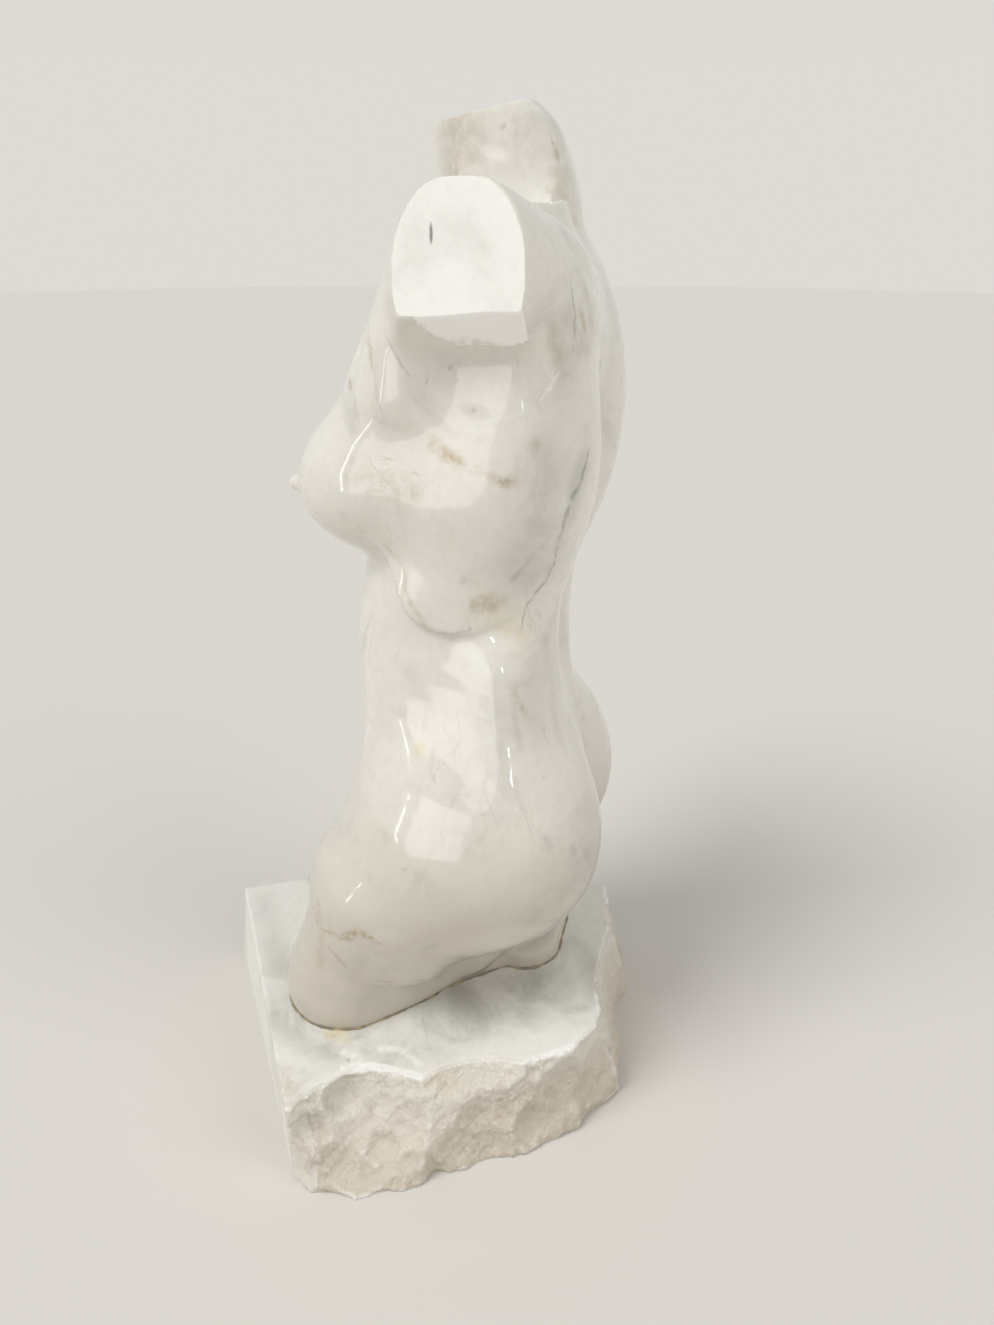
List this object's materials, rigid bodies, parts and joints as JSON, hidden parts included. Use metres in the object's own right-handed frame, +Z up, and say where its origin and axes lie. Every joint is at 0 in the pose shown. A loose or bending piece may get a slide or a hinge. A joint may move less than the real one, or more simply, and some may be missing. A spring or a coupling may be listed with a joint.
{
  "type": "female torso sculpture",
  "caption": "Headless kneeling female torso in polished marble, with cut arms, bedded on a rough-hewn marble plinth.",
  "frame": {"origin": "centre of the whole work's outline, on the plinth's underside", "axes": "+Z up, the figure faces -Y and its own left side is +X"},
  "size_m": [0.2069, 0.237, 0.4592],
  "materials": {
    "polished_marble": "polished white marble with soft grey and tan veins",
    "hewn_marble": "honed top, sawn and rough split sides"
  },
  "bodies": {
    "root": {"torso": "polished_marble", "plinth": "hewn_marble"}
  },
  "joints": []
}
